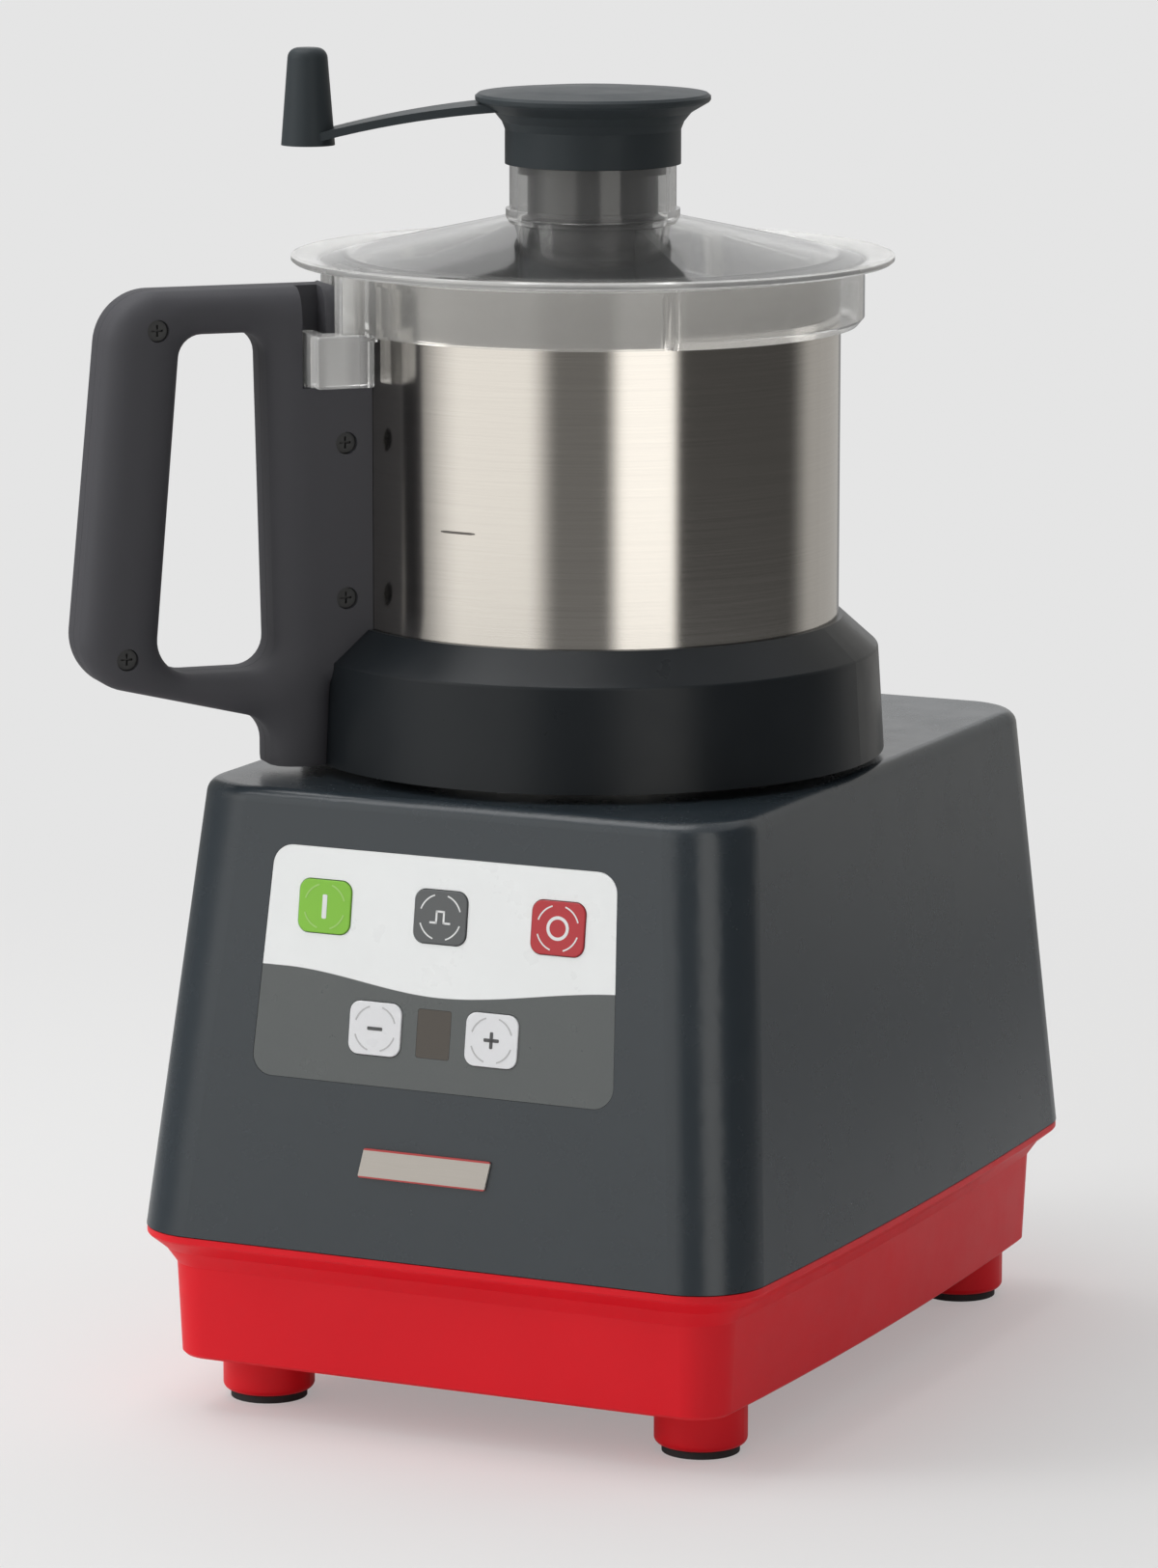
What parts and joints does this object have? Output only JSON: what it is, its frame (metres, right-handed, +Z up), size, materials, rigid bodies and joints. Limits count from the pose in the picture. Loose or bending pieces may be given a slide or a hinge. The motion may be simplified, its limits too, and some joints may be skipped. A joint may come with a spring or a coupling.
{
  "type": "meat bowl cutter",
  "caption": "Table-top cutter mixer: tapered motor base with key panel, lidded steel bowl with loop handle and knife, and a hand crank that turns a wall scraper.",
  "frame": {"origin": "where the drive axis meets the table top, at the underside of the foot pads", "axes": "+Z up along the drive axis, -Y to the front with the key panel, +X to the right seen from the front"},
  "size_m": [0.2832, 0.3613, 0.5096],
  "materials": {
    "graphite_paint": "satin fine-texture paint",
    "red_base": "glossy moulded red",
    "foot_rubber": "matt black",
    "panel_film": "semi-gloss printed film, white over grey",
    "green_key": "glossy, raised ring and bar",
    "grey_key": "glossy",
    "red_key": "glossy",
    "white_key": "glossy",
    "display_smoke": "dark window",
    "display_unit": "matt",
    "circuit_board": "solder mask",
    "switch_black": "matt",
    "bare_badge": "brushed, bare plate with a thin red edge",
    "lamination_steel": "stacked laminations",
    "copper_wire": "varnished copper",
    "cast_aluminium": "as cast",
    "bearing_steel": "ground",
    "screw_steel": "zinc plated",
    "shaft_steel": "ground stainless",
    "fan_plastic": "moulded",
    "seal_rubber": "matt",
    "bowl_steel": "brushed round the bowl",
    "collar_plastic": "satin moulded, dark graphite",
    "handle_plastic": "satin moulded",
    "spring_steel": "spring wire",
    "magnet": "nickel plated",
    "clear_lid": "clear moulded plastic",
    "gasket_silicone": "translucent silicone",
    "knife_plastic": "moulded",
    "knife_steel": "ground, sharpened edge",
    "crank_plastic": "satin moulded, dark graphite",
    "scraper_plastic": "satin moulded, dark graphite",
    "wiper_silicone": "translucent silicone",
    "grille_black": "moulded"
  },
  "bodies": {
    "root": {"housing_shell": "graphite_paint", "base_plinth": "red_base", "foot_pads": "foot_rubber", "base_screws": "screw_steel", "panel_overlay": "panel_film", "display_window": "display_smoke", "display_module": "display_unit", "control_board": "circuit_board", "board_screws": "screw_steel", "key_switches": "switch_black", "badge_plate": "bare_badge", "motor_stator": "lamination_steel", "motor_windings": "copper_wire", "upper_end_shield": "cast_aluminium", "lower_end_shield": "cast_aluminium", "upper_bearing": "bearing_steel", "lower_bearing": "bearing_steel", "motor_tie_rods": "screw_steel", "bowl_seat": "cast_aluminium", "seat_screws": "screw_steel", "shaft_seal": "seal_rubber", "reed_switch": "switch_black", "vent_grille": "grille_black", "cable_gland": "grille_black", "power_board": "circuit_board", "power_board_screws": "screw_steel", "heat_sink": "cast_aluminium"},
    "drive": {"motor_shaft": "shaft_steel", "rotor_core": "lamination_steel", "cooling_fan": "fan_plastic"},
    "bowl": {"steel_bowl": "bowl_steel", "bowl_chimney": "bowl_steel", "bowl_collar": "collar_plastic", "collar_screws": "screw_steel", "handle_front_half": "handle_plastic", "handle_rear_half": "handle_plastic", "handle_bracket": "bowl_steel", "handle_screws": "screw_steel", "rod_spring": "spring_steel"},
    "rod": {"interlock_rod": "shaft_steel", "rod_magnet": "magnet"},
    "knife": {"knife_hub": "knife_plastic", "lower_blade": "knife_steel", "upper_blade": "knife_steel", "blade_spacers": "knife_plastic", "hub_cap": "knife_plastic"},
    "lid_seal": {"lid_gasket": "gasket_silicone"},
    "lid": {"lid": "clear_lid"},
    "crank": {"crank_handle": "crank_plastic", "scraper_hub": "scraper_plastic", "scraper_arms": "scraper_plastic", "wiper_blades": "wiper_silicone", "crank_screw": "screw_steel"},
    "key_start": {"key_start": "green_key"},
    "key_pulse": {"key_pulse": "grey_key"},
    "key_stop": {"key_stop": "red_key"},
    "key_minus": {"key_minus": "white_key"},
    "key_plus": {"key_plus": "white_key"}
  },
  "joints": [
    {"name": "motor_spin", "type": "hinge", "parent": "root", "child": "drive", "pos_m": [0, 0, 0.16], "axis": [0, 0, 1], "continuous": true},
    {"name": "bowl_lift", "type": "slide", "parent": "root", "child": "bowl", "axis": [0, 0, 1], "range_m": [0, 0.15]},
    {"name": "knife_spin", "type": "hinge", "parent": "bowl", "child": "knife", "pos_m": [0, 0, 0.34], "axis": [0, 0, 1], "continuous": true},
    {"name": "lid_lift", "type": "slide", "parent": "bowl", "child": "lid_seal", "axis": [0, 0, 1], "range_m": [0, 0.12]},
    {"name": "lid_turn", "type": "hinge", "parent": "lid_seal", "child": "lid", "pos_m": [0, 0, 0.43], "axis": [0, 0, 1], "range_deg": [0, 40]},
    {"name": "crank_turn", "type": "hinge", "parent": "lid", "child": "crank", "pos_m": [0, 0, 0.48], "axis": [0, 0, 1], "continuous": true},
    {"name": "rod_rise", "type": "slide", "parent": "bowl", "child": "rod", "axis": [0, 0, 1], "range_m": [0, 0.003], "deforming": ["rod_spring"]},
    {"name": "press_start", "type": "slide", "parent": "root", "child": "key_start", "axis": [0, 0.9889, -0.1486], "range_m": [0, 0.0005], "stiffness_N_per_m": 600},
    {"name": "press_pulse", "type": "slide", "parent": "root", "child": "key_pulse", "axis": [0, 0.9889, -0.1486], "range_m": [0, 0.0005], "stiffness_N_per_m": 600},
    {"name": "press_stop", "type": "slide", "parent": "root", "child": "key_stop", "axis": [0, 0.9889, -0.1486], "range_m": [0, 0.0005], "stiffness_N_per_m": 600},
    {"name": "press_minus", "type": "slide", "parent": "root", "child": "key_minus", "axis": [0, 0.9889, -0.1486], "range_m": [0, 0.0005], "stiffness_N_per_m": 600},
    {"name": "press_plus", "type": "slide", "parent": "root", "child": "key_plus", "axis": [0, 0.9889, -0.1486], "range_m": [0, 0.0005], "stiffness_N_per_m": 600}
  ],
  "couplings": [
    {"joint": "knife_spin", "follows": "motor_spin", "ratio": 1},
    {"joint": "rod_rise", "follows": "lid_turn", "m_per_rad": 0.004297}
  ]
}
